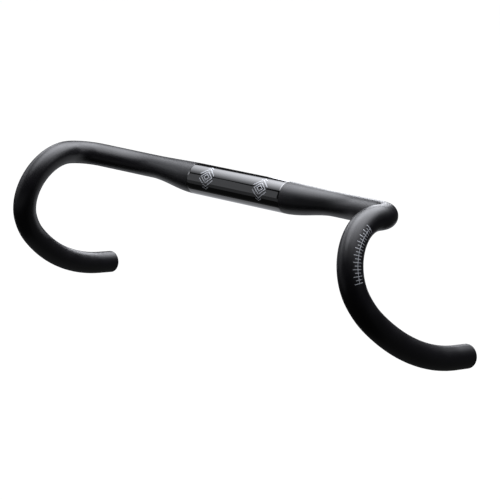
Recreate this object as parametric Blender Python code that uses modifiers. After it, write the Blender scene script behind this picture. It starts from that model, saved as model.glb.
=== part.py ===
"""Flared drop handlebar: a moulded tube in three bonded lengths, closed by two expanding end plugs.

Frame: origin at the centre of the stem clamp, +X to the left of the rider, -Y forward, +Z up.
Driving dimensions are in millimetres; the object is built in metres.
"""
import math

import bmesh
import bpy
from mathutils import Matrix, Vector

MM = 0.001

# Tube
CLAMP_RADIUS = 15.9
GRIP_RADIUS = 11.9
WALL = 2.0
TUBE_SIDES = 20
GAP = 0.3

# Tops: clamp zone, taper, gentle forward bend, straight with the bonded joint, tight corner
CLAMP_HALF = 60.0
TAPER_END = 119.0
TAPER_STEPS = 7
TAPER_LIFT = 3.2
SWEEP_RADIUS = 95.0
SWEEP_ANGLE = math.radians(20.0)
SWEEP_TILT = math.radians(19.0)
JOINT_LENGTH = 32.0
CORNER_RADIUS = 30.0

# Hook: three arcs in one leaning plane, then the straight drop end
FLARE = math.radians(14.5)
RAMP_ANGLE = math.radians(-7.5)
HOOK_ARCS = ((47.0, math.radians(121.0)), (87.0, math.radians(19.0)), (195.0, math.radians(37.0)))
END_LENGTH = 18.1
BEND_STEP = 7.5

# Bonded joint sleeve
SLEEVE_HALF = 12.0
SLEEVE_WALL = 1.4

# Gloss ring in its recess, and the printed transfers
BAND_WALL = 0.5
MARK_CENTRE = 35.0
MARK_HALF = 9.5
MARK_ANGLE = math.radians(30.0)
MARK_HALF_ANGLE = math.radians(46.0)
MARK_STEPS = 8
FILM = 0.15
SCALE_START = 29.5
SCALE_LENGTH = 52.0
SCALE_ANGLE = math.radians(79.0)
SCALE_HALF_WIDTH = 4.8
SCALE_STEPS = 11
SCALE_COLUMNS = 4

# End plug, measured along its own axis from the end of the tube, outwards
FLANGE_THICK = 1.6
FLANGE_RADIUS = 11.9
FLANGE_EDGE = 0.5
SPIGOT_LENGTH = 4.6
SPIGOT_RADIUS = 9.4
SCREW_RADIUS = 2.5
SCREW_LENGTH = 22.6
HEAD_RADIUS = 4.2
HEAD_HEIGHT = 3.6
HEAD_SUNK = 0.1
SOCKET_RADIUS = 1.73
SOCKET_DEPTH = 2.2
WASHER_RADIUS = 4.1
WASHER_THICK = 0.8
EXPANDER_RADIUS = 9.5
EXPANDER_LENGTH = 15.0
EXPANDER_BORE = 5.6
EXPANDER_MOUTH = 8.0
MOUTH_DEPTH = 9.0
SLOT_COUNT = 4
SLOT_WIDTH = 1.8
SLOT_DEPTH = 11.5
NUT_TOP_RADIUS = 6.1
NUT_BASE_RADIUS = 8.1
NUT_HEIGHT = 7.5
NUT_DROP = 9.2
KEY_WIDTH = 1.2
KEY_REACH = 9.2
CHAMFER = 0.3
TURN_SIDES = 24


# ---------------------------------------------------------------- scene and materials

def clear_scene():
    for old in list(bpy.data.objects):
        bpy.data.objects.remove(old, do_unlink=True)


def make_collection(name):
    collection = bpy.data.collections.new(name)
    bpy.context.scene.collection.children.link(collection)
    return collection


def make_material(name, colour, roughness, metallic=0.0, coat=0.0):
    material = bpy.data.materials.new(name)
    material.use_nodes = True
    shader = material.node_tree.nodes["Principled BSDF"]
    shader.inputs["Base Color"].default_value = (*colour, 1.0)
    shader.inputs["Roughness"].default_value = roughness
    shader.inputs["Metallic"].default_value = metallic
    shader.inputs["Coat Weight"].default_value = coat
    return material


# ---------------------------------------------------------------- centreline

class Route:
    """A centreline laid down piece by piece; each station is a point, a direction and a radius."""

    def __init__(self, point, heading, radius):
        self.point = Vector(point)
        self.heading = Vector(heading).normalized()
        self.stations = [(self.point.copy(), self.heading.copy(), radius)]

    def add(self, radius):
        self.stations.append((self.point.copy(), self.heading.copy(), radius))

    def straight(self, length, radius, steps=1):
        for _ in range(steps):
            self.point += self.heading * (length / steps)
            self.add(radius)

    def bend(self, bend_radius, angle, axis, radius):
        """Turn the heading about an axis; chords keep every station on the arc."""
        steps = max(2, round(bend_radius * angle / BEND_STEP))
        half = Matrix.Rotation(angle / steps / 2, 3, axis)
        chord = 2 * bend_radius * math.sin(angle / steps / 2)
        for _ in range(steps):
            self.heading = half @ self.heading
            self.point += self.heading * chord
            self.heading = half @ self.heading
            self.add(radius)

    def turn_towards(self, bend_radius, target, radius):
        axis = self.heading.cross(target).normalized()
        self.bend(bend_radius, self.heading.angle(target), axis, radius)


def smooth_step(x):
    return x * x * (3 - 2 * x)


def hook_axes():
    """Forward and downward directions of the leaning hook plane, and its outward normal."""
    forward = Vector((0, -1, 0))
    down = Vector((math.sin(FLARE), 0, -math.cos(FLARE)))
    return forward, down, forward.cross(down)


def tops_route():
    """From the middle of the bar to the middle of the bonded joint."""
    route = Route((0, 0, 0), (1, 0, 0), CLAMP_RADIUS)
    route.straight(CLAMP_HALF, CLAMP_RADIUS)
    for step in range(1, TAPER_STEPS + 1):
        part = step / TAPER_STEPS
        blend = smooth_step(part)
        route.point = Vector((CLAMP_HALF + part * (TAPER_END - CLAMP_HALF), 0, TAPER_LIFT * blend))
        route.add(CLAMP_RADIUS + (GRIP_RADIUS - CLAMP_RADIUS) * blend)
    sweep = Vector((0, -math.cos(SWEEP_TILT), math.sin(SWEEP_TILT)))
    route.bend(SWEEP_RADIUS, SWEEP_ANGLE, route.heading.cross(sweep), GRIP_RADIUS)
    route.straight(JOINT_LENGTH / 2, GRIP_RADIUS)
    return route


def drop_route(tops):
    """From the middle of the bonded joint round the corner and the hook to the end of the tube."""
    forward, down, normal = hook_axes()
    ramp = forward * math.cos(RAMP_ANGLE) + down * math.sin(RAMP_ANGLE)
    route = Route(tops.point, tops.heading, GRIP_RADIUS)
    route.straight(JOINT_LENGTH / 2, GRIP_RADIUS)
    route.turn_towards(CORNER_RADIUS, ramp, GRIP_RADIUS)
    for bend_radius, angle in HOOK_ARCS:
        route.bend(bend_radius, angle, normal, GRIP_RADIUS)
    route.straight(END_LENGTH, GRIP_RADIUS, steps=2)
    return route


def mirrored(station):
    point, heading, radius = station
    flip = Vector((-1, 1, 1))
    return point * flip, heading * flip, radius


# ---------------------------------------------------------------- shape makers

def tube_curve(name, stations, wall):
    """A hollow tube, open at both ends: a swept curve with Solidify inwards."""
    curve = bpy.data.curves.new(name, "CURVE")
    curve.dimensions = "3D"
    curve.bevel_depth = GRIP_RADIUS * MM
    curve.bevel_resolution = (TUBE_SIDES - 4) // 2
    curve.use_fill_caps = False
    spline = curve.splines.new("POLY")
    spline.points.add(len(stations) - 1)
    for target, (point, _, radius) in zip(spline.points, stations):
        target.co = (*(point * MM), 1.0)
        target.radius = radius / GRIP_RADIUS
    tube = bpy.data.objects.new(name, curve)
    solidify = tube.modifiers.new("wall", "SOLIDIFY")
    solidify.thickness = wall * MM
    solidify.offset = -1.0
    solidify.use_even_offset = True
    return tube


def evaluated_mesh(source, name):
    """The mesh of an object with its modifiers applied; the object is removed."""
    bpy.context.scene.collection.objects.link(source)
    graph = bpy.context.evaluated_depsgraph_get()
    mesh = bpy.data.meshes.new_from_object(source.evaluated_get(graph), depsgraph=graph)
    mesh.name = name
    mesh.shade_smooth()
    mesh.set_sharp_from_angle(angle=math.radians(35))
    bpy.data.objects.remove(source, do_unlink=True)
    return mesh


def turned(name, profile, closed=True):
    """A turned shape about Z from (radius, height) points that run down the outer side."""
    mesh = bpy.data.meshes.new(name)
    count = len(profile)
    edges = [(i, (i + 1) % count) for i in range(count if closed else count - 1)]
    mesh.from_pydata([(radius * MM, 0, height * MM) for radius, height in profile], edges, [])
    shape = bpy.data.objects.new(name, mesh)
    screw = shape.modifiers.new("turn", "SCREW")
    screw.axis = "Z"
    screw.steps = TURN_SIDES
    screw.render_steps = TURN_SIDES
    screw.use_merge_vertices = True
    screw.merge_threshold = 0.00001
    return shape


def cutter(shape, collection):
    shape.hide_render = True
    shape.display_type = "WIRE"
    collection.objects.link(shape)
    return shape


def boolean(shape, other, operation="DIFFERENCE"):
    modifier = shape.modifiers.new(other.name, "BOOLEAN")
    modifier.operation = operation
    modifier.object = other
    modifier.solver = "EXACT"


def block(name, size, centre):
    """A box of the given size in millimetres, placed by its mesh."""
    mesh = bpy.data.meshes.new(name)
    bm = bmesh.new()
    bmesh.ops.create_cube(bm, size=1.0)
    bmesh.ops.scale(bm, vec=Vector(size) * MM, verts=bm.verts)
    bmesh.ops.translate(bm, vec=Vector(centre) * MM, verts=bm.verts)
    bm.to_mesh(mesh)
    bm.free()
    return bpy.data.objects.new(name, mesh)


def film(name, rows):
    """A thin transfer: rows of surface points as an open sheet, thickened outwards."""
    mesh = bpy.data.meshes.new(name)
    width = len(rows[0])
    points = [point * MM for row in rows for point in row]
    faces = []
    for i in range(len(rows) - 1):
        for j in range(width - 1):
            corner = i * width + j
            faces.append((corner, corner + 1, corner + width + 1, corner + width))
    mesh.from_pydata(points, [], faces)
    mesh.shade_smooth()
    sheet = bpy.data.objects.new(name, mesh)
    solidify = sheet.modifiers.new("film", "SOLIDIFY")
    solidify.thickness = FILM * MM
    solidify.offset = 1.0
    return sheet


# ---------------------------------------------------------------- the bar

def make_centre_section(tops, cutters):
    """Clamp zone, tapers and tops in one tube, with the shallow recess for the gloss ring."""
    half = tops.stations[:-1]
    point, heading, radius = tops.stations[-1]
    half.append((point - heading * GAP / 2, heading, radius))
    stations = [mirrored(station) for station in reversed(half)] + half[1:]
    mesh = evaluated_mesh(tube_curve("centre_tube", stations, WALL), "centre_section")
    centre = bpy.data.objects.new("centre_section", mesh)
    floor = CLAMP_RADIUS - BAND_WALL - GAP
    rim = CLAMP_RADIUS + 1
    recess = turned("band_recess", ((rim, CLAMP_HALF), (rim, -CLAMP_HALF), (floor, -CLAMP_HALF),
                                    (floor, CLAMP_HALF)))
    recess.rotation_euler = (0, math.pi / 2, 0)
    boolean(centre, cutter(recess, cutters))
    return centre


def make_clamp_band():
    half = CLAMP_HALF - GAP
    inner = CLAMP_RADIUS - BAND_WALL
    band = turned("clamp_band", ((CLAMP_RADIUS, half), (CLAMP_RADIUS, -half), (inner, -half), (inner, half)))
    band.rotation_euler = (0, math.pi / 2, 0)
    return band


def make_band_mark(name, side):
    """The transfer's carrier film on the front of the gloss ring."""
    radius = CLAMP_RADIUS + GAP
    rows = []
    for i in range(MARK_STEPS + 1):
        angle = MARK_ANGLE + MARK_HALF_ANGLE * (2 * i / MARK_STEPS - 1)
        ends = (MARK_CENTRE - MARK_HALF, MARK_CENTRE + MARK_HALF)
        row = [Vector((side * x, -radius * math.cos(angle), radius * math.sin(angle))) for x in ends]
        rows.append(row if side > 0 else row[::-1])
    return film(name, rows)


def make_drop(name, drop, side):
    stations = list(drop.stations)
    point, heading, radius = stations[0]
    stations[0] = (point + heading * GAP / 2, heading, radius)
    if side < 0:
        stations = [mirrored(station) for station in stations]
    return tube_curve(name, stations, WALL)


def make_joint_sleeve(name, tops, side):
    """Inner sleeve across the bonded joint, in the straight between sweep and corner."""
    point, heading, _ = tops.stations[-1]
    radius = GRIP_RADIUS - WALL - GAP
    stations = [(point + heading * offset, heading, radius) for offset in (-SLEEVE_HALF, SLEEVE_HALF)]
    if side < 0:
        stations = [mirrored(station) for station in stations]
    return tube_curve(name, stations, SLEEVE_WALL)


def make_lever_scale(name, side):
    """The scale's carrier film on the outer side of the hook's first arc."""
    forward, down, normal = hook_axes()
    corner_end = drop_corner_end()
    bend_radius = HOOK_ARCS[0][0]
    first = RAMP_ANGLE + SCALE_START / bend_radius
    centre = corner_end + bend_radius * (down * math.cos(RAMP_ANGLE) - forward * math.sin(RAMP_ANGLE))
    surface = GRIP_RADIUS + GAP
    half_angle = SCALE_HALF_WIDTH / surface
    rows = []
    for i in range(SCALE_STEPS + 1):
        turn = first + SCALE_LENGTH / bend_radius * i / SCALE_STEPS
        outward = forward * math.sin(turn) - down * math.cos(turn)
        row = []
        for j in range(SCALE_COLUMNS + 1):
            angle = SCALE_ANGLE + half_angle * (2 * j / SCALE_COLUMNS - 1)
            offset = outward * math.cos(angle) + normal * math.sin(angle)
            point = centre + outward * bend_radius + offset * surface
            row.append(point * Vector((side, 1, 1)))
        rows.append(row if side < 0 else row[::-1])
    return film(name, rows)


def drop_corner_end():
    """Where the corner ends and the hook's first arc begins."""
    tops = tops_route()
    forward, down, _ = hook_axes()
    ramp = forward * math.cos(RAMP_ANGLE) + down * math.sin(RAMP_ANGLE)
    route = Route(tops.point, tops.heading, GRIP_RADIUS)
    route.straight(JOINT_LENGTH / 2, GRIP_RADIUS)
    route.turn_towards(CORNER_RADIUS, ramp, GRIP_RADIUS)
    return route.point


# ---------------------------------------------------------------- end plug, +Z out of the tube

def plug_cap_mesh():
    """Flange over the tube's end, short spigot inside it, and a counterbored hole for the screw."""
    top = FLANGE_THICK + GAP
    counter = HEAD_RADIUS + GAP
    floor = top - HEAD_SUNK - HEAD_HEIGHT - WASHER_THICK - GAP
    profile = ((FLANGE_RADIUS - FLANGE_EDGE, top), (FLANGE_RADIUS - 0.15, top - 0.15),
               (FLANGE_RADIUS, top - FLANGE_EDGE), (FLANGE_RADIUS, GAP), (SPIGOT_RADIUS, GAP),
               (SPIGOT_RADIUS, -SPIGOT_LENGTH), (SCREW_RADIUS + GAP, -SPIGOT_LENGTH),
               (SCREW_RADIUS + GAP, floor), (counter, floor), (counter, top))
    return evaluated_mesh(turned("cap", profile), "plug_cap")


def plug_screw_mesh(cutters):
    """Socket-head screw, its head sunk just below the cap's face."""
    top = FLANGE_THICK + GAP - HEAD_SUNK
    under = top - HEAD_HEIGHT + GAP
    tip = under - SCREW_LENGTH
    profile = ((0, top), (HEAD_RADIUS - CHAMFER, top), (HEAD_RADIUS, top - CHAMFER), (HEAD_RADIUS, under),
               (SCREW_RADIUS, under), (SCREW_RADIUS, tip + 0.6), (SCREW_RADIUS - 0.6, tip), (0, tip))
    screw = turned("screw", profile, closed=False)
    socket = bpy.data.meshes.new("socket")
    bm = bmesh.new()
    bmesh.ops.create_cone(bm, cap_ends=True, segments=6, radius1=SOCKET_RADIUS * MM,
                          radius2=SOCKET_RADIUS * MM, depth=2 * SOCKET_DEPTH * MM)
    bmesh.ops.translate(bm, vec=(0, 0, top * MM), verts=bm.verts)
    bm.to_mesh(socket)
    bm.free()
    boolean(screw, cutter(bpy.data.objects.new("socket", socket), cutters))
    return evaluated_mesh(screw, "plug_screw")


def plug_washer_mesh():
    """Flat washer under the screw's head, on the counterbore's floor."""
    top = FLANGE_THICK + GAP - HEAD_SUNK - HEAD_HEIGHT
    bore = SCREW_RADIUS + GAP
    profile = ((WASHER_RADIUS, top), (WASHER_RADIUS, top - WASHER_THICK), (bore, top - WASHER_THICK),
               (bore, top))
    return evaluated_mesh(turned("washer", profile), "plug_washer")


def plug_expander_mesh(cutters):
    """Sleeve that grips the tube: a flared mouth at its inner end, split by slots."""
    top = -SPIGOT_LENGTH - GAP
    base = top - EXPANDER_LENGTH
    profile = ((EXPANDER_RADIUS - CHAMFER, top), (EXPANDER_RADIUS, top - CHAMFER), (EXPANDER_RADIUS, base),
               (EXPANDER_MOUTH, base), (EXPANDER_BORE, base + MOUTH_DEPTH), (EXPANDER_BORE, top))
    sleeve = turned("expander", profile)
    for i in range(SLOT_COUNT // 2):
        size = (2 * EXPANDER_RADIUS + 2, SLOT_WIDTH, 2 * SLOT_DEPTH)
        slot = block(f"slot_{i}", size, (0, 0, base))
        slot.rotation_euler = (0, 0, math.pi * i / (SLOT_COUNT // 2))
        boolean(sleeve, cutter(slot, cutters))
    return evaluated_mesh(sleeve, "plug_expander")


def plug_nut_mesh(cutters):
    """Tapered nut in the sleeve's mouth; two keys in the slots stop it turning."""
    top = -SPIGOT_LENGTH - GAP - NUT_DROP
    base = top - NUT_HEIGHT
    bore = SCREW_RADIUS + GAP
    profile = ((NUT_TOP_RADIUS, top), (NUT_BASE_RADIUS, base), (bore, base), (bore, top))
    nut = turned("nut", profile)
    for side in (-1, 1):
        inner = bore + 0.6
        size = (KEY_REACH - inner, KEY_WIDTH, NUT_HEIGHT - 2)
        key = block(f"key_{side}", size, (side * (KEY_REACH + inner) / 2, 0, (top + base) / 2))
        boolean(nut, cutter(key, cutters), "UNION")
    return evaluated_mesh(nut, "plug_nut")


def place_plug(side_name, drop, side, meshes, materials, collection):
    """Put one set of plug pieces on the end of a drop, under an empty on the plug's axis."""
    station = drop.stations[-1]
    point, heading, _ = mirrored(station) if side < 0 else station
    axis = bpy.data.objects.new(f"{side_name}_plug_axis", None)
    axis.empty_display_size = 0.02
    axis.location = point * MM
    axis.rotation_euler = heading.to_track_quat("Z", "X").to_euler()
    collection.objects.link(axis)
    for piece, mesh in meshes.items():
        part = bpy.data.objects.new(f"{side_name}_{piece}", mesh)
        part.parent = axis
        finish(part, materials[piece], collection)


# ---------------------------------------------------------------- assembly

def finish(part, material, collection):
    if not part.data.materials:
        part.data.materials.append(material)
    collection.objects.link(part)


def build():
    clear_scene()
    parts = make_collection("drop_handlebar")
    cutters = make_collection("cutters")
    satin = make_material("satin_black", (0.012, 0.012, 0.014), 0.42)
    gloss = make_material("gloss_black", (0.008, 0.008, 0.01), 0.12, coat=1.0)
    bond = make_material("sleeve_grey", (0.05, 0.05, 0.055), 0.6)
    print_grey = make_material("print_grey", (0.6, 0.61, 0.63), 0.4)
    cap_black = make_material("cap_black", (0.006, 0.006, 0.006), 0.6)
    expander_grey = make_material("expander_rubber", (0.03, 0.03, 0.03), 0.8)
    nut_metal = make_material("nut_aluminium", (0.75, 0.76, 0.78), 0.35, metallic=1.0)
    screw_metal = make_material("screw_steel", (0.35, 0.35, 0.37), 0.35, metallic=1.0)
    washer_metal = make_material("washer_steel", (0.6, 0.6, 0.61), 0.3, metallic=1.0)

    tops = tops_route()
    drop = drop_route(tops)
    finish(make_centre_section(tops, cutters), satin, parts)
    finish(make_clamp_band(), gloss, parts)
    meshes = {"plug_cap": plug_cap_mesh(), "plug_washer": plug_washer_mesh(),
              "plug_expander": plug_expander_mesh(cutters), "plug_nut": plug_nut_mesh(cutters),
              "plug_screw": plug_screw_mesh(cutters)}
    materials = {"plug_cap": cap_black, "plug_washer": washer_metal, "plug_expander": expander_grey,
                 "plug_nut": nut_metal, "plug_screw": screw_metal}
    for side_name, side in (("left", 1), ("right", -1)):
        finish(make_drop(f"{side_name}_drop", drop, side), satin, parts)
        finish(make_joint_sleeve(f"{side_name}_joint_sleeve", tops, side), bond, parts)
        finish(make_band_mark(f"{side_name}_band_mark", side), print_grey, parts)
        finish(make_lever_scale(f"{side_name}_lever_scale", side), print_grey, parts)
        place_plug(side_name, drop, side, meshes, materials, parts)


build()
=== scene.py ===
"""Looks of the drop handlebar: smooth lacquered tubes, gloss clamp zone, printed marks, lever scales and
end plugs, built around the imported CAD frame. Lengths are in metres unless a name ends in _MM."""
import math

import bpy
from mathutils import Matrix, Vector


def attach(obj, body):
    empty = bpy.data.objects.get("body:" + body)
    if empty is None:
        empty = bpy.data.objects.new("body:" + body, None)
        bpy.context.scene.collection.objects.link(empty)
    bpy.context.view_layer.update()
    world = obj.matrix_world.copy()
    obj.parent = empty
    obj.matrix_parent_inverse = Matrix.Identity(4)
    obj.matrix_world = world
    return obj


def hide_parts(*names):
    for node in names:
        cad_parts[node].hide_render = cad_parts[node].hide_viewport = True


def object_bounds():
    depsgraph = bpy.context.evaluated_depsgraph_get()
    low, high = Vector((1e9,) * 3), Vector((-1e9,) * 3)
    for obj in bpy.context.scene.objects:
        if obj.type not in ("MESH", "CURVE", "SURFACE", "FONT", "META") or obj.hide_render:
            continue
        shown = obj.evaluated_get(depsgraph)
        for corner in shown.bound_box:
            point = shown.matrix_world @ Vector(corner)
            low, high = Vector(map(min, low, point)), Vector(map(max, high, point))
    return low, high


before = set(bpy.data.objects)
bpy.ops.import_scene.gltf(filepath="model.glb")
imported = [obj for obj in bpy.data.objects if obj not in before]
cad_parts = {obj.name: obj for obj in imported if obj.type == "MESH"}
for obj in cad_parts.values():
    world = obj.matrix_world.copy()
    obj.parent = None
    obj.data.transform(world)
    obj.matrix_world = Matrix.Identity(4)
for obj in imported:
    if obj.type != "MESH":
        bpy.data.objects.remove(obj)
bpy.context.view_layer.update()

MM = 0.001

# The bar's centreline, as the CAD defines it (millimetres and radians)
CLAMP_RADIUS = 15.9
GRIP_RADIUS = 11.9
WALL = 2.0
CLAMP_HALF = 60.0
TAPER_END = 119.0
TAPER_LIFT = 3.2
SWEEP_RADIUS = 95.0
SWEEP_ANGLE = math.radians(20.0)
SWEEP_TILT = math.radians(19.0)
JOINT_LENGTH = 32.0
CORNER_RADIUS = 30.0
FLARE = math.radians(14.5)
RAMP_ANGLE = math.radians(-7.5)
HOOK_ARCS = ((47.0, math.radians(121.0)), (87.0, math.radians(19.0)), (195.0, math.radians(37.0)))
END_LENGTH = 18.1

# Fineness of the visual meshes
RING_STEP = 2.0
RING_SIDES = 72
TURN_SIDES = 96
BAND_SIDES = 144
WASHER_SIDES = 64
RINGS_PER_THREAD = 6
SHARP_ANGLE = math.radians(30.0)

# Gloss ring
BAND_DEPTH = 0.55
BAND_GROOVE = 0.12
EDGE_ROUND = 0.12

# Lever scale on the outer side of each hook: even divisions with half divisions between
SCALE_START = 29.5
SCALE_LENGTH = 52.0
SCALE_DIVISIONS = 9
SCALE_ANGLES = (math.radians(88.0), math.radians(-29.5), math.radians(16.7))
LONG_TICK = (-4.8, 4.3)
SHORT_TICK = (-3.1, 3.4)
TICK_WIDTH = 0.5
PRINT_HEIGHT = 0.04

# Generic motif on the gloss ring, either side of the middle
MARK_CENTRE = 35.0
MARK_ANGLE = math.radians(30.0)
MARK_WIDTH = 1.0

# End plug, along its own axis from the end of the tube outwards
GAP = 0.3
FLANGE_THICK = 1.6
FLANGE_RADIUS = 11.9
SPIGOT_RADIUS = 9.4
SPIGOT_LENGTH = 4.6
SCREW_RADIUS = 2.5
SCREW_LENGTH = 22.6
THREAD_PITCH = 0.8
THREAD_DEPTH = 0.43
HEAD_RADIUS = 4.2
HEAD_HEIGHT = 3.6
HEAD_SUNK = 0.1
KNURL_DEPTH = 0.12
KNURL_COUNT = 32
SOCKET_RADIUS = 1.73
SOCKET_DEPTH = 2.2
WASHER_RADIUS = 4.1
WASHER_THICK = 0.8
EXPANDER_RADIUS = 9.5
EXPANDER_LENGTH = 15.0
EXPANDER_BORE = 5.6
EXPANDER_MOUTH = 8.0
MOUTH_DEPTH = 9.0
SLOT_WIDTH = 1.8
SLOT_DEPTH = 11.5
NUT_TOP_RADIUS = 6.1
NUT_BASE_RADIUS = 8.1
NUT_HEIGHT = 7.5
NUT_DROP = 9.2
KEY_WIDTH = 1.2
KEY_REACH = 9.2

# Camera
SENSOR_WIDTH = 36.0
CAMERA_AZIMUTH = math.radians(40.94)
CAMERA_ELEVATION = math.radians(16.21)
CAMERA_DISTANCE = 1.6826
CAMERA_TARGET = Vector((0.01065, 0, -0.06237))
CAMERA_LENS = 121.15

# Floor, far enough below the bar for a plug that is pulled out
PULLED_PLUG_DROP = 0.012
FLOOR_SIZE = 60
FLOOR_GLOW = 1.0

# Lights: the softbox hangs level and is brightest in its middle; glows lie just above the floor
CEILING_HEIGHT = 1.149
GLOW_HEIGHT = -0.15
SOFTBOX_CENTRE = (0.0, 0.6, 1.15)
SOFTBOX_SIZE = (2.7, 2.95)
SOFTBOX_SPREAD = (0.85, 0.8)
SOFTBOX_RADIANCE = 7.0
LIGHT_TINT = (0.925, 0.942, 1.0)
BOARD_DISTANCE = 1.5


# ---------------------------------------------------------------- centreline

class Route:
    """A centreline laid down piece by piece; each station is a point, a direction and a radius."""

    def __init__(self, point, heading, radius):
        self.point = Vector(point)
        self.heading = Vector(heading).normalized()
        self.stations = [(self.point.copy(), self.heading.copy(), radius)]

    def add(self, radius):
        self.stations.append((self.point.copy(), self.heading.copy(), radius))

    def straight(self, length, radius):
        steps = max(1, round(length / RING_STEP))
        for _ in range(steps):
            self.point += self.heading * (length / steps)
            self.add(radius)

    def bend(self, bend_radius, angle, axis, radius):
        steps = max(2, round(bend_radius * angle / RING_STEP))
        half = Matrix.Rotation(angle / steps / 2, 3, axis)
        chord = 2 * bend_radius * math.sin(angle / steps / 2)
        for _ in range(steps):
            self.heading = half @ self.heading
            self.point += self.heading * chord
            self.heading = half @ self.heading
            self.add(radius)


def smooth_step(x):
    return x * x * (3 - 2 * x)


def hook_axes():
    forward = Vector((0, -1, 0))
    down = Vector((math.sin(FLARE), 0, -math.cos(FLARE)))
    return forward, down, forward.cross(down)


def tops_route():
    """From the edge of the clamp zone to the middle of the bonded joint."""
    route = Route((CLAMP_HALF, 0, 0), (1, 0, 0), CLAMP_RADIUS)
    steps = round((TAPER_END - CLAMP_HALF) / RING_STEP)
    for step in range(1, steps + 1):
        part = step / steps
        blend = smooth_step(part)
        slope = 6 * part * (1 - part) * TAPER_LIFT / (TAPER_END - CLAMP_HALF)
        route.point = Vector((CLAMP_HALF + part * (TAPER_END - CLAMP_HALF), 0, TAPER_LIFT * blend))
        route.heading = Vector((1, 0, slope)).normalized()
        route.add(CLAMP_RADIUS + (GRIP_RADIUS - CLAMP_RADIUS) * blend)
    sweep = Vector((0, -math.cos(SWEEP_TILT), math.sin(SWEEP_TILT)))
    route.bend(SWEEP_RADIUS, SWEEP_ANGLE, Vector((1, 0, 0)).cross(sweep), GRIP_RADIUS)
    route.straight(JOINT_LENGTH / 2, GRIP_RADIUS)
    return route


def corner_route(tops):
    """From the middle of the bonded joint to where the hook's first arc begins."""
    forward, down, _ = hook_axes()
    ramp = forward * math.cos(RAMP_ANGLE) + down * math.sin(RAMP_ANGLE)
    route = Route(tops.point, tops.heading, GRIP_RADIUS)
    route.straight(JOINT_LENGTH / 2, GRIP_RADIUS)
    axis = route.heading.cross(ramp).normalized()
    route.bend(CORNER_RADIUS, route.heading.angle(ramp), axis, GRIP_RADIUS)
    return route


def drop_route(tops):
    route = corner_route(tops)
    normal = hook_axes()[2]
    for bend_radius, angle in HOOK_ARCS:
        route.bend(bend_radius, angle, normal, GRIP_RADIUS)
    route.straight(END_LENGTH, GRIP_RADIUS)
    return route


def flipped(vector, side):
    return vector * Vector((side, 1, 1))


# ---------------------------------------------------------------- mesh makers

def new_object(name, points, faces):
    """A smooth-shaded mesh from points in millimetres, with sharp edges kept where it turns fast."""
    mesh = bpy.data.meshes.new(name)
    mesh.from_pydata([point * MM for point in points], [], faces)
    mesh.validate()
    mesh.update()
    mesh.shade_smooth()
    mesh.set_sharp_from_angle(angle=SHARP_ANGLE)
    piece = bpy.data.objects.new(name, mesh)
    bpy.context.scene.collection.objects.link(piece)
    return piece


def ring_frames(stations):
    """One pair of cross axes per station, carried along without twist."""
    across = stations[0][1].orthogonal().normalized()
    frames = []
    for _, heading, _ in stations:
        across = (across - heading * across.dot(heading)).normalized()
        frames.append((across.copy(), heading.cross(across)))
    return frames


def tube(name, stations, wall):
    """A closed tube wall: outer rings out, inner rings back; material 0 outside, 1 on ends and inside."""
    frames = ring_frames(stations)
    loops = [(k, stations[k][2]) for k in range(len(stations))]
    loops += [(k, stations[k][2] - wall) for k in reversed(range(len(stations)))]
    points = []
    for k, radius in loops:
        point = stations[k][0]
        u, v = frames[k]
        for i in range(RING_SIDES):
            turn = math.tau * i / RING_SIDES
            points.append(point + (u * math.cos(turn) + v * math.sin(turn)) * radius)
    faces = []
    for k in range(len(loops)):
        after = (k + 1) % len(loops)
        for i in range(RING_SIDES):
            j = (i + 1) % RING_SIDES
            faces.append((k * RING_SIDES + i, k * RING_SIDES + j,
                          after * RING_SIDES + j, after * RING_SIDES + i))
    piece = new_object(name, points, faces)
    outside = (len(stations) - 1) * RING_SIDES
    for face in piece.data.polygons:
        face.material_index = 0 if face.index < outside else 1
    return piece


def lathe(name, rings, sides=TURN_SIDES, closed=True):
    """A body of stacked rings about Z, each a function of the angle giving (radius, height)."""
    points = []
    for ring in rings:
        for i in range(sides):
            turn = math.tau * i / sides
            radius, height = ring(turn)
            points.append(Vector((radius * math.cos(turn), radius * math.sin(turn), height)))
    faces = []
    for k in range(len(rings) if closed else len(rings) - 1):
        after = (k + 1) % len(rings)
        for i in range(sides):
            j = (i + 1) % sides
            faces.append((k * sides + i, after * sides + i, after * sides + j, k * sides + j))
    if not closed:
        last = (len(rings) - 1) * sides
        faces.append(tuple(range(sides)))
        faces.append(tuple(reversed(range(last, last + sides))))
    return new_object(name, points, faces)


def plain(radius, height):
    return lambda turn: (radius, height)


def turned(name, profile, sides=TURN_SIDES):
    """A ring-shaped turned piece about Z; the profile of (radius, height) runs down the outer side."""
    return lathe(name, [plain(radius, height) for radius, height in profile], sides)


def stroke(points, width):
    """Left and right edges of a line of constant width through flat points, with mitred corners."""
    closed = (points[0] - points[-1]).length < 1e-6
    count = len(points) - 1 if closed else len(points)
    edges = []
    for k in range(count):
        before = points[(k - 1) % count] if closed or k else None
        after = points[(k + 1) % count] if closed or k < count - 1 else None
        here = points[k]
        ahead = (after - here).normalized() if after is not None else (here - before).normalized()
        back = (here - before).normalized() if before is not None else ahead
        normal = Vector((-(ahead.y + back.y), ahead.x + back.x)).normalized()
        scale = width / 2 / max(0.4, normal.dot(Vector((-ahead.y, ahead.x))))
        edges.append((here + normal * scale, here - normal * scale))
    if closed:
        edges.append(edges[0])
    return edges


def rounded(profile, size, steps=3):
    """Every corner of a closed (radius, height) outline replaced by a small arc."""
    fine = []
    count = len(profile)
    for k in range(count):
        here = Vector(profile[k])
        before = Vector(profile[k - 1]) - here
        after = Vector(profile[(k + 1) % count]) - here
        reach = min(size, before.length * 0.45, after.length * 0.45)
        start = here + before.normalized() * reach
        end = here + after.normalized() * reach
        for i in range(steps + 1):
            part = i / steps
            fine.append(tuple(start.lerp(here, part).lerp(here.lerp(end, part), part)))
    return fine


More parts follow.
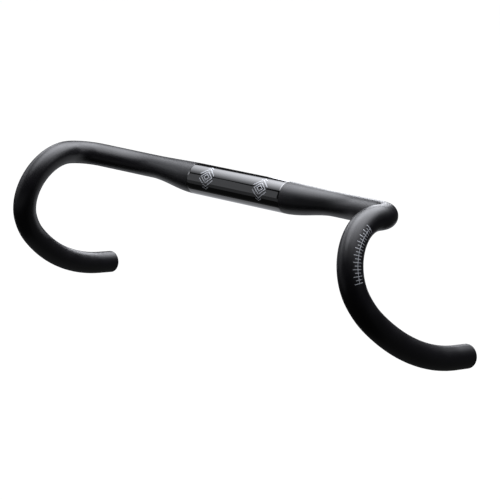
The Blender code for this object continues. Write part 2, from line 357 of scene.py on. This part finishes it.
def block(size, centre):
    bpy.ops.mesh.primitive_cube_add(size=1)
    piece = bpy.context.active_object
    piece.scale = [length * MM for length in size]
    piece.location = [place * MM for place in centre]
    return piece


def combine(piece, others, operation):
    """Boolean with each of the others, applied at once; the others are then removed."""
    for other in others:
        modifier = piece.modifiers.new("combine", "BOOLEAN")
        modifier.operation = operation
        modifier.solver = "EXACT"
        modifier.object = other
    bpy.context.view_layer.update()
    shape = bpy.data.meshes.new_from_object(piece.evaluated_get(bpy.context.evaluated_depsgraph_get()))
    piece.modifiers.clear()
    piece.data = shape
    for other in others:
        bpy.data.objects.remove(other)
    shape.shade_smooth()
    shape.set_sharp_from_angle(angle=SHARP_ANGLE)
    return piece


def subdivided(points, step):
    fine = [points[0]]
    for a, b in zip(points, points[1:]):
        pieces = max(1, math.ceil((b - a).length / step))
        fine += [a.lerp(b, k / pieces) for k in range(1, pieces + 1)]
    return fine


def printed(name, lines, width, place, step=1.0):
    """Flat lines laid on a curved surface as a thin raised film; place(x, y, height) gives the point."""
    points = []
    faces = []
    for line in lines:
        edges = stroke(subdivided([Vector(p) for p in line], step), width)
        first = len(points)
        for left, right in edges:
            points += [place(left.x, left.y, PRINT_HEIGHT), place(right.x, right.y, PRINT_HEIGHT),
                       place(right.x, right.y, -PRINT_HEIGHT), place(left.x, left.y, -PRINT_HEIGHT)]
        for k in range(len(edges) - 1):
            a = first + 4 * k
            for i in range(4):
                j = (i + 1) % 4
                faces.append((a + i, a + j, a + 4 + j, a + 4 + i))
        last = first + 4 * (len(edges) - 1)
        faces.append((first + 3, first + 2, first + 1, first))
        faces.append((last, last + 1, last + 2, last + 3))
    return new_object(name, points, faces)


# ---------------------------------------------------------------- materials

def principled(name, colour, roughness, **sockets):
    material = bpy.data.materials.new(name)
    material.use_nodes = True
    shader = material.node_tree.nodes["Principled BSDF"]
    shader.inputs["Base Color"].default_value = (*colour, 1.0)
    shader.inputs["Roughness"].default_value = roughness
    for socket, value in sockets.items():
        shader.inputs[socket.replace("_", " ")].default_value = value
    return material, material.node_tree, shader


def noise(tree, scale, detail=3.0, stretch=(1, 1, 1)):
    """Noise in object space; scale is in features per metre, stretch squeezes it along an axis."""
    place = tree.nodes.new("ShaderNodeTexCoord")
    mapping = tree.nodes.new("ShaderNodeMapping")
    mapping.inputs["Scale"].default_value = stretch
    texture = tree.nodes.new("ShaderNodeTexNoise")
    texture.inputs["Scale"].default_value = scale
    texture.inputs["Detail"].default_value = detail
    tree.links.new(place.outputs["Object"], mapping.inputs["Vector"])
    tree.links.new(mapping.outputs["Vector"], texture.inputs["Vector"])
    return texture.outputs["Fac"]


def bands(tree, period, direction="Z", distortion=0.0):
    """Parallel ridges in object space, one every period (metres)."""
    place = tree.nodes.new("ShaderNodeTexCoord")
    texture = tree.nodes.new("ShaderNodeTexWave")
    texture.bands_direction = direction
    texture.inputs["Scale"].default_value = math.tau / 20 / period
    texture.inputs["Distortion"].default_value = distortion
    tree.links.new(place.outputs["Object"], texture.inputs["Vector"])
    return texture.outputs["Fac"]


def vary_roughness(tree, shader, value, low, high):
    level = tree.nodes.new("ShaderNodeMapRange")
    level.inputs["From Min"].default_value = 0.3
    level.inputs["From Max"].default_value = 0.7
    level.inputs["To Min"].default_value = low
    level.inputs["To Max"].default_value = high
    tree.links.new(value, level.inputs["Value"])
    tree.links.new(level.outputs["Result"], shader.inputs["Roughness"])


def vary_colour(tree, shader, value, stops):
    ramp = tree.nodes.new("ShaderNodeValToRGB")
    elements = ramp.color_ramp.elements
    while len(elements) < len(stops):
        elements.new(0.5)
    for element, (position, colour) in zip(elements, stops):
        element.position = position
        element.color = (*colour, 1.0)
    tree.links.new(value, ramp.inputs["Fac"])
    tree.links.new(ramp.outputs["Color"], shader.inputs["Base Color"])


def raise_bumps(tree, shader, layers):
    """Each layer is a height output and its depth in metres; they are stacked on one another."""
    normal = None
    for height, depth in layers:
        bump = tree.nodes.new("ShaderNodeBump")
        bump.inputs["Distance"].default_value = depth
        tree.links.new(height, bump.inputs["Height"])
        if normal is not None:
            tree.links.new(normal, bump.inputs["Normal"])
        normal = bump.outputs["Normal"]
    tree.links.new(normal, shader.inputs["Normal"])


def satin_lacquer():
    """Satin clear over black: soft blotches of sheen, a fine spray texture."""
    material, tree, shader = principled("satin_black_lacquer", (0.003, 0.003, 0.0034), 0.36)
    vary_colour(tree, shader, noise(tree, 45),
                ((0.3, (0.0013, 0.0011, 0.0019)), (0.7, (0.0024, 0.0020, 0.0034))))
    vary_roughness(tree, shader, noise(tree, 70), 0.33, 0.39)
    raise_bumps(tree, shader, ((noise(tree, 240), 0.000006), (noise(tree, 1700), 0.000002)))
    return material


def gloss_lacquer():
    """Deep gloss with a slight orange peel, the lengthwise fibres just visible under it."""
    material, tree, shader = principled("gloss_black_lacquer", (0.003, 0.003, 0.0034), 0.05, IOR=1.6,
                                        Coat_Weight=1.0, Coat_Roughness=0.03, Coat_IOR=1.6)
    vary_colour(tree, shader, noise(tree, 1600, stretch=(1, 1, 0.03)),
                ((0.35, (0.0006, 0.0006, 0.0008)), (0.7, (0.0030, 0.0030, 0.0034))))
    vary_roughness(tree, shader, noise(tree, 120), 0.04, 0.065)
    raise_bumps(tree, shader, ((noise(tree, 260, detail=1.0), 0.0000035),))
    return material


def print_ink(name, tone, coat_roughness, coat_ior):
    """Pale grey ink under the tube's own lacquer, a little uneven in density."""
    material, tree, shader = principled(name, (tone, tone, tone), 0.4, Coat_Weight=1.0,
                                        Coat_Roughness=coat_roughness, Coat_IOR=coat_ior)
    vary_colour(tree, shader, noise(tree, 1400, detail=2.0),
                ((0.35, (tone * 0.82, tone * 0.85, tone * 0.9)),
                 (0.65, (tone * 1.15, tone * 1.18, tone * 1.25))))
    vary_roughness(tree, shader, noise(tree, 600), 0.34, 0.46)
    return material


def laminate():
    """Bare moulded composite inside the tubes: fibre bundles crossing under a matt resin film."""
    material, tree, shader = principled("bare_laminate", (0.02, 0.02, 0.021), 0.5)
    vary_colour(tree, shader, noise(tree, 900, stretch=(0.06, 1, 1)),
                ((0.3, (0.010, 0.010, 0.011)), (0.7, (0.034, 0.034, 0.036))))
    vary_roughness(tree, shader, noise(tree, 300), 0.4, 0.62)
    raise_bumps(tree, shader,
                ((bands(tree, 0.0018, "DIAGONAL", 1.5), 0.00003), (noise(tree, 500), 0.00002)))
    return material


def cap_plastic():
    """Injection-moulded black plastic with a fine spark-eroded grain."""
    material, tree, shader = principled("cap_black_plastic", (0.005, 0.005, 0.005), 0.5)
    vary_colour(tree, shader, noise(tree, 220),
                ((0.3, (0.0042, 0.0042, 0.0044)), (0.7, (0.0075, 0.0075, 0.0078))))
    vary_roughness(tree, shader, noise(tree, 900), 0.42, 0.58)
    raise_bumps(tree, shader, ((noise(tree, 2600), 0.000012),))
    return material


def expander_rubber():
    """Matt black rubber, dusty where it was moulded."""
    material, tree, shader = principled("expander_black_rubber", (0.014, 0.014, 0.014), 0.8)
    vary_colour(tree, shader, noise(tree, 180),
                ((0.35, (0.010, 0.010, 0.010)), (0.75, (0.028, 0.028, 0.027))))
    vary_roughness(tree, shader, noise(tree, 500), 0.7, 0.9)
    raise_bumps(tree, shader, ((noise(tree, 1500), 0.00002),))
    return material


def turned_alloy():
    """Aluminium with the fine grooves the lathe leaves round it."""
    material, tree, shader = principled("turned_alloy", (0.72, 0.73, 0.75), 0.3, Metallic=1.0)
    vary_colour(tree, shader, noise(tree, 260), ((0.3, (0.64, 0.65, 0.67)), (0.7, (0.79, 0.8, 0.82))))
    vary_roughness(tree, shader, noise(tree, 800, stretch=(0.2, 0.2, 4)), 0.24, 0.4)
    raise_bumps(tree, shader, ((bands(tree, 0.0002, "Z", 0.4), 0.000006),))
    return material


def screw_steel():
    """Black oxide on steel, rubbed to bare metal in fine scuffs."""
    material, tree, shader = principled("screw_black_oxide", (0.09, 0.09, 0.095), 0.42, Metallic=1.0)
    vary_colour(tree, shader, noise(tree, 700, detail=6.0),
                ((0.35, (0.05, 0.05, 0.053)), (0.62, (0.1, 0.1, 0.105)), (0.78, (0.34, 0.34, 0.35))))
    vary_roughness(tree, shader, noise(tree, 900), 0.34, 0.52)
    raise_bumps(tree, shader, ((noise(tree, 2400), 0.000005),))
    return material


def zinc_plate():
    """Bright zinc, faintly iridescent, with stamping lines."""
    material, tree, shader = principled("washer_zinc", (0.6, 0.61, 0.62), 0.3, Metallic=1.0)
    vary_colour(tree, shader, noise(tree, 300),
                ((0.3, (0.52, 0.55, 0.6)), (0.5, (0.62, 0.62, 0.61)), (0.72, (0.66, 0.62, 0.52))))
    vary_roughness(tree, shader, noise(tree, 1100), 0.22, 0.4)
    raise_bumps(tree, shader, ((bands(tree, 0.00035, "X", 2.0), 0.000004),))
    return material


# ---------------------------------------------------------------- the bar

def show(piece, materials, body, node, slot):
    """Give a piece its materials and its body, and hide the CAD node it stands for; the finish slot is not
    used.
    """
    for material in materials:
        piece.data.materials.append(material)
    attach(piece, body)
    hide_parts(node)


def make_tops(tops, satin, inside):
    """Both tops, the tapers and the recessed floor under the gloss ring, as one tube."""
    half = tops.stations
    mirrored = [(flipped(p, -1), flipped(h, -1) * -1, r) for p, h, r in reversed(half)]
    floor = CLAMP_RADIUS - BAND_DEPTH
    along = Vector((1, 0, 0))
    recess = [(Vector((x, 0, 0)), along, floor) for x in (-CLAMP_HALF - 0.01, -30, 0, 30, CLAMP_HALF + 0.01)]
    shoulder = []
    for sign in (-1, 1):
        rounding = [(CLAMP_HALF + BAND_GROOVE / 2 + 0.01, CLAMP_RADIUS - EDGE_ROUND),
                    (CLAMP_HALF + BAND_GROOVE / 2 + EDGE_ROUND, CLAMP_RADIUS)]
        shoulder.append([(Vector((sign * x, 0, 0)), along, r) for x, r in rounding[::sign]])
    stations = mirrored[:-1] + shoulder[0] + recess + shoulder[1] + half[1:]
    show(tube("tops_tube", stations, WALL), (satin, inside), "bar", "centre_section", "satin_black")


def make_drop(name, node, drop, side, satin, inside):
    stations = [(flipped(p, side), flipped(h, side), r) for p, h, r in drop.stations]
    show(tube(name, stations, WALL), (satin, inside), "bar", node, "satin_black")


def make_band(material):
    """The gloss ring, flush with the tube, its edges barely rounded."""
    half = CLAMP_HALF - BAND_GROOVE / 2
    inner = CLAMP_RADIUS - BAND_DEPTH + 0.02
    outline = []
    for k in range(5):
        turn = math.pi / 2 * k / 4
        outline.append((CLAMP_RADIUS - EDGE_ROUND * (1 - math.sin(turn)),
                        half - EDGE_ROUND * (1 - math.cos(turn))))
    rows = [half - 2, 30, 0, -30, -half + 2]
    profile = outline + [(CLAMP_RADIUS, z) for z in rows]
    profile += [(r, -z) for r, z in reversed(outline)]
    profile += [(inner, -half), (inner, half)]
    piece = turned("gloss_ring", profile, sides=BAND_SIDES)
    piece.rotation_euler = (0, math.pi / 2, 0)
    show(piece, (material,), "bar", "clamp_band", "gloss_black")


def mark_lines():
    """Nested diamonds between two pairs of chevrons; x along the ring, y round it."""
    lines = []
    for width, height in ((7.0, 6.0), (3.4, 2.9)):
        lines.append([(0, height), (width, 0), (0, -height), (-width, 0), (0, height)])
    for up in (-1, 1):
        lines.append([(-8.8, up * 2.4), (0, up * 9.9), (8.8, up * 2.4)])
        lines.append([(-3.6, up * 10.2), (0, up * 12.4), (3.6, up * 10.2)])
    return lines


def make_mark(name, node, side, material):
    def place(x, arc, height):
        angle = MARK_ANGLE + arc / CLAMP_RADIUS
        radius = CLAMP_RADIUS + height
        return Vector((side * MARK_CENTRE + x, -radius * math.cos(angle), radius * math.sin(angle)))

    show(printed(name, mark_lines(), MARK_WIDTH, place), (material,), "bar", node, "print")


def hook_surface(side):
    """place(s, t, height): s along the hook's first arc, t across the scale, both in millimetres."""
    start = corner_route(tops_route()).point
    forward, down, normal = hook_axes()
    radius = HOOK_ARCS[0][0]
    centre = start + radius * (down * math.cos(RAMP_ANGLE) - forward * math.sin(RAMP_ANGLE))

    def place(s, t, height):
        turn = RAMP_ANGLE + s / radius
        outward = forward * math.sin(turn) - down * math.cos(turn)
        part = (s - SCALE_START) / SCALE_LENGTH
        middle = SCALE_ANGLES[0] + SCALE_ANGLES[1] * part + SCALE_ANGLES[2] * part * part
        angle = middle + t / GRIP_RADIUS
        offset = outward * math.cos(angle) + normal * math.sin(angle)
        return flipped(centre + outward * radius + offset * (GRIP_RADIUS + height), side)

    return place


def make_scale(name, node, side, material):
    end = SCALE_START + SCALE_LENGTH
    lines = [[(SCALE_START, 0), (end, 0)]]
    for k in range(2 * SCALE_DIVISIONS + 1):
        s = SCALE_START + SCALE_LENGTH * k / (2 * SCALE_DIVISIONS)
        low, high = SHORT_TICK if k % 2 else LONG_TICK
        lines.append([(s, low), (s, high)])
    show(printed(name, lines, TICK_WIDTH, hook_surface(side)), (material,), "bar", node, "print")


# ---------------------------------------------------------------- end plugs, +Z out of the tube

def cap_piece(name):
    """Flange with a dished, grooved face, a counterbore for the screw, and a ribbed spigot."""
    top = FLANGE_THICK + GAP
    counter = HEAD_RADIUS + GAP
    bore = SCREW_RADIUS + GAP
    floor = top - HEAD_SUNK - HEAD_HEIGHT - WASHER_THICK - GAP
    face = ((counter, top - 0.25), (6.2, top - 0.2), (8.2, top - 0.1), (8.35, top - 0.4), (8.95, top - 0.4),
            (9.1, top - 0.04), (FLANGE_RADIUS - 0.7, top), (FLANGE_RADIUS, top - 0.6))
    spigot = [(FLANGE_RADIUS, GAP), (SPIGOT_RADIUS - 0.25, GAP)]
    for z in (-0.9, -2.3):
        spigot += [(SPIGOT_RADIUS - 0.25, z + 0.35), (SPIGOT_RADIUS, z), (SPIGOT_RADIUS, z - 0.5),
                   (SPIGOT_RADIUS - 0.25, z - 0.7)]
    spigot += [(SPIGOT_RADIUS - 0.7, -SPIGOT_LENGTH), (bore, -SPIGOT_LENGTH), (bore, floor), (counter, floor)]
    return turned(name, rounded(list(face) + spigot, 0.35))


def washer_piece(name):
    top = FLANGE_THICK + GAP - HEAD_SUNK - HEAD_HEIGHT
    base = top - WASHER_THICK
    bore = SCREW_RADIUS + GAP
    profile = ((bore, top), (WASHER_RADIUS, top), (WASHER_RADIUS, base), (bore, base))
    return turned(name, rounded(profile, 0.2), sides=WASHER_SIDES)


def screw_piece(name):
    """Knurled socket head, plain neck and a cut thread down to a chamfered tip."""
    top = FLANGE_THICK + GAP - HEAD_SUNK
    under = top - HEAD_HEIGHT + GAP
    tip = under - SCREW_LENGTH
    neck = under - 2.0

    def knurled(height):
        return lambda turn: (HEAD_RADIUS - KNURL_DEPTH * (0.5 - 0.5 * math.cos(KNURL_COUNT * turn)), height)

    def hexagon(height):
        return lambda turn: (SOCKET_RADIUS * math.cos(math.pi / 6)
                             / math.cos(turn % (math.pi / 3) - math.pi / 6), height)

    def threaded(height):
        """A slice across the thread, which runs out into the neck and down to its root at the tip."""
        fade = min(1, (neck - height) / THREAD_PITCH, (height - tip) / THREAD_PITCH)
        least = THREAD_DEPTH * (1 - fade) if height < neck - 3 else 0.0

        def ring(turn):
            phase = (height / THREAD_PITCH - turn / math.tau) % 1
            depth = THREAD_DEPTH * max(0.0, min(1.0, abs(2 * phase - 1) * 1.35 - 0.15))
            return SCREW_RADIUS - 0.02 - max(depth * fade, least), height

        return ring

    rings = [plain(0.02, top - SOCKET_DEPTH - 0.45), hexagon(top - SOCKET_DEPTH), hexagon(top - 0.3),
             plain(SOCKET_RADIUS + 0.2, top), plain(HEAD_RADIUS - 0.75, top),
             plain(HEAD_RADIUS - 0.35, top - 0.12),
             plain(HEAD_RADIUS - 0.13, top - 0.35), knurled(top - 0.55), knurled(under + 0.45),
             plain(HEAD_RADIUS - 0.13, under + 0.3), plain(HEAD_RADIUS - 0.4, under),
             plain(SCREW_RADIUS + 0.25, under), plain(SCREW_RADIUS - 0.02, under - 0.25)]
    count = round((neck - tip) / THREAD_PITCH * RINGS_PER_THREAD)
    rings += [threaded(neck + (tip - neck) * k / count) for k in range(count + 1)]
    rings.append(plain(SCREW_RADIUS - THREAD_DEPTH - 0.25, tip))
    return lathe(name, rings, closed=False)


def expander_piece(name):
    """Ribbed rubber sleeve, split by four slots from its coned inner mouth."""
    top = -SPIGOT_LENGTH - GAP
    base = top - EXPANDER_LENGTH
    outline = [(EXPANDER_BORE, top), (EXPANDER_RADIUS - 0.3, top)]
    for k in range(6):
        z = top - 1.2 - 2.2 * k
        outline += [(EXPANDER_RADIUS - 0.02, z + 0.5), (EXPANDER_RADIUS - 0.02, z - 0.6),
                    (EXPANDER_RADIUS - 0.35, z - 0.8), (EXPANDER_RADIUS - 0.35, z - 1.4)]
    outline += [(EXPANDER_RADIUS - 0.1, base + 0.6), (EXPANDER_RADIUS - 0.3, base), (EXPANDER_MOUTH, base),
                (EXPANDER_BORE, base + MOUTH_DEPTH)]
    sleeve = turned(name, rounded(outline, 0.2, steps=2))
    long_side = 2 * EXPANDER_RADIUS + 2
    slots = [block((long_side, SLOT_WIDTH, 2 * SLOT_DEPTH), (0, 0, base)),
             block((SLOT_WIDTH, long_side, 2 * SLOT_DEPTH), (0, 0, base))]
    return combine(sleeve, slots, "DIFFERENCE")


def nut_piece(name):
    """Tapered nut with a stepped base; two keys ride in the sleeve's slots."""
    top = -SPIGOT_LENGTH - GAP - NUT_DROP
    base = top - NUT_HEIGHT
    bore = SCREW_RADIUS + GAP
    profile = ((bore + 0.4, top), (NUT_TOP_RADIUS, top), (NUT_BASE_RADIUS - 0.3, base + 1.4),
               (NUT_BASE_RADIUS - 0.3, base), (bore + 0.4, base), (bore, base + 0.4), (bore, top - 0.4))
    nut = turned(name, rounded(profile, 0.25))
    inner = bore + 0.6
    keys = [block((KEY_REACH - inner, KEY_WIDTH, NUT_HEIGHT - 2),
                  (side * (KEY_REACH + inner) / 2, 0, (top + base) / 2)) for side in (-1, 1)]
    return combine(nut, keys, "UNION")


def make_plug(side_name, drop, side, finishes):
    """The five pieces of one end plug, placed on the end of the drop."""
    point, heading, _ = drop.stations[-1]
    turn = flipped(heading, side).to_track_quat("Z", "X")
    makers = {"cap": (cap_piece, ""), "washer": (washer_piece, ""), "expander": (expander_piece, ""),
              "screw": (screw_piece, "_screw"), "nut": (nut_piece, "_nut")}
    for part, (maker, body) in makers.items():
        piece = maker(f"{side_name}_end_{part}")
        piece.location = flipped(point, side) * MM
        piece.rotation_euler = turn.to_euler()
        material, slot = finishes[part]
        show(piece, (material,), f"{side_name}_plug{body}", f"{side_name}_plug_{part}", slot)


# ---------------------------------------------------------------- stage

def make_camera():
    data = bpy.data.cameras.new("camera")
    data.lens = CAMERA_LENS
    data.sensor_width = SENSOR_WIDTH
    camera = bpy.data.objects.new("camera", data)
    back = Vector((math.sin(CAMERA_AZIMUTH) * math.cos(CAMERA_ELEVATION),
                   -math.cos(CAMERA_AZIMUTH) * math.cos(CAMERA_ELEVATION), math.sin(CAMERA_ELEVATION)))
    camera.location = CAMERA_TARGET + back * CAMERA_DISTANCE
    camera.rotation_euler = (-back).to_track_quat("-Z", "Y").to_euler()
    bpy.context.scene.collection.objects.link(camera)
    bpy.context.scene.camera = camera


def make_floor():
    """A white floor that glows evenly, takes no shadow and isn't mirrored in the bar."""
    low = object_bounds()[0].z - PULLED_PLUG_DROP
    bpy.ops.mesh.primitive_plane_add(size=FLOOR_SIZE, location=(0, 0, low))
    floor = bpy.context.active_object
    floor.name = "floor"
    floor.visible_glossy = False
    floor.visible_diffuse = False
    floor.visible_shadow = False
    material, _, shader = principled("floor_white", (0.02, 0.02, 0.02), 0.9, Specular_IOR_Level=0.0)
    shader.inputs["Emission Color"].default_value = (1, 1, 1, 1)
    shader.inputs["Emission Strength"].default_value = FLOOR_GLOW
    floor.data.materials.append(material)
    return floor


def panel(name, centre, facing, size, radiance):
    """A rectangular light of given radiance; facing is the direction it shines."""
    data = bpy.data.lights.new(name, "AREA")
    data.shape = "RECTANGLE"
    data.size, data.size_y = size
    data.energy = radiance * math.pi * size[0] * size[1]
    data.color = LIGHT_TINT
    light = bpy.data.objects.new(name, data)
    light.location = centre
    light.rotation_euler = Vector(facing).to_track_quat("-Z", "Y").to_euler()
    bpy.context.scene.collection.objects.link(light)
    return light


def overhead_panel(name, centre, size, radiance):
    """A level light that shines down, its sides along X and Y."""
    light = panel(name, centre, (0, 0, -1), size, radiance)
    light.rotation_euler = (0, 0, 0)
    return light


def glow_panel(name, centre, size, radiance):
    """A level light that shines up and is seen only in reflections."""
    light = panel(name, centre, (0, 0, 1), size, radiance)
    light.visible_diffuse = False


def fade_to_edges(light, spread):
    """Make a rectangular light brightest at its middle; spread is the bell's width as parts of each side."""
    light.data.use_nodes = True
    tree = light.data.node_tree
    place = tree.nodes.new("ShaderNodeNewGeometry")
    offset = tree.nodes.new("ShaderNodeVectorMath")
    offset.operation = "SUBTRACT"
    offset.inputs[1].default_value = (0.5, 0.5, 0)
    scaled = tree.nodes.new("ShaderNodeVectorMath")
    scaled.operation = "MULTIPLY"
    scaled.inputs[1].default_value = (1 / spread[0], 1 / spread[1], 0)
    square = tree.nodes.new("ShaderNodeVectorMath")
    square.operation = "DOT_PRODUCT"
    halved = tree.nodes.new("ShaderNodeMath")
    halved.operation = "MULTIPLY"
    halved.inputs[1].default_value = -0.5
    bell = tree.nodes.new("ShaderNodeMath")
    bell.operation = "EXPONENT"
    tree.links.new(place.outputs["Parametric"], offset.inputs[0])
    tree.links.new(offset.outputs["Vector"], scaled.inputs[0])
    tree.links.new(scaled.outputs["Vector"], square.inputs[0])
    tree.links.new(scaled.outputs["Vector"], square.inputs[1])
    tree.links.new(square.outputs["Value"], halved.inputs[0])
    tree.links.new(halved.outputs["Value"], bell.inputs[0])
    tree.links.new(bell.outputs["Value"], tree.nodes["Emission"].inputs["Strength"])


def board_panel(name, side, y_range, z_range, radiance):
    """One panel of the upright boards to the left (-1) and right (+1) of the object."""
    centre = (side * BOARD_DISTANCE, sum(y_range) / 2, sum(z_range) / 2)
    panel(name, centre, (-side, 0, 0), (y_range[1] - y_range[0], z_range[1] - z_range[0]), radiance)


def make_lights():
    """A large softbox and two strips overhead, boards at the sides and behind, faint glows from below."""
    softbox = overhead_panel("softbox", SOFTBOX_CENTRE, SOFTBOX_SIZE, SOFTBOX_RADIANCE)
    fade_to_edges(softbox, (SOFTBOX_SPREAD[0] / SOFTBOX_SIZE[0], SOFTBOX_SPREAD[1] / SOFTBOX_SIZE[1]))
    overhead_panel("strip_back", (0.0, 1.45, CEILING_HEIGHT), (0.85, 0.7), 4.0)
    overhead_panel("strip_front", (-0.38, -0.35, CEILING_HEIGHT), (0.72, 1.9), 2.5)
    board_panel("board_lamp", -1, (0.2, 1.0), (0.5, 1.1), 3.6)
    board_panel("board_upper", -1, (-1.1, 0.2), (0.5, 1.1), 1.9)
    board_panel("board_lower", -1, (-1.2, 0.2), (-0.1, 0.5), 0.36)
    board_panel("board_near", -1, (-2.0, -1.2), (-0.14, 1.3), 0.45)
    board_panel("board_right", 1, (-0.2, 0.8), (0.5, 1.1), 1.6)
    board_panel("lamp_low", -1, (1.9, 2.45), (0.05, 0.85), 4.0)
    board_panel("board_high", -1, (1.75, 2.1), (0.85, 1.14), 3.4)
    panel("board_back", (-0.95, 1.9, 0.7), (0, -1, 0), (0.75, 0.88), 3.8)
    glow_panel("card", (-0.03, 0.08, -0.08), (0.43, 0.22), 0.5)
    glow_panel("glow_left", (-0.6, 0.25, GLOW_HEIGHT), (0.8, 0.7), 0.06)
    glow_panel("glow_back", (0.2, 0.56, GLOW_HEIGHT), (0.8, 1.28), 0.035)
    glow_panel("glow_front", (-0.75, -1.1, GLOW_HEIGHT), (1.7, 1.6), 0.14)


def make_world():
    """White behind everything for the camera, nearly black in reflections."""
    world = bpy.data.worlds.new("studio")
    bpy.context.scene.world = world
    world.use_nodes = True
    tree = world.node_tree
    background = tree.nodes["Background"]
    background.inputs["Color"].default_value = (1, 1, 1, 1)
    path = tree.nodes.new("ShaderNodeLightPath")
    level = tree.nodes.new("ShaderNodeMapRange")
    level.inputs["To Min"].default_value = 0.02
    level.inputs["To Max"].default_value = 1.0
    tree.links.new(path.outputs["Is Camera Ray"], level.inputs["Value"])
    tree.links.new(level.outputs["Result"], background.inputs["Strength"])


def main():
    tops = tops_route()
    drop = drop_route(tops)
    satin = satin_lacquer()
    inside = laminate()
    gloss_ink = print_ink("print_ink_gloss", 0.3, 0.03, 1.6)
    satin_ink = print_ink("print_ink_satin", 0.45, 0.36, 1.5)
    finishes = {"cap": (cap_plastic(), "cap_plastic"), "washer": (zinc_plate(), "washer_steel"),
                "expander": (expander_rubber(), "expander_rubber"), "screw": (screw_steel(), "screw_steel"),
                "nut": (turned_alloy(), "nut_alloy")}
    make_camera()
    make_tops(tops, satin, inside)
    make_band(gloss_lacquer())
    for side_name, side in (("left", 1), ("right", -1)):
        make_drop(f"{side_name}_drop_tube", f"{side_name}_drop", drop, side, satin, inside)
        make_mark(f"{side_name}_mark_print", f"{side_name}_band_mark", side, gloss_ink)
        make_scale(f"{side_name}_scale_print", f"{side_name}_lever_scale", side, satin_ink)
        make_plug(side_name, drop, side, finishes)
        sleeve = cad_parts[f"{side_name}_joint_sleeve"]
        sleeve.data.materials.clear()
        sleeve.data.materials.append(inside)
    make_floor()
    make_world()
    make_lights()
    bpy.context.scene.view_settings.view_transform = "Standard"


main()
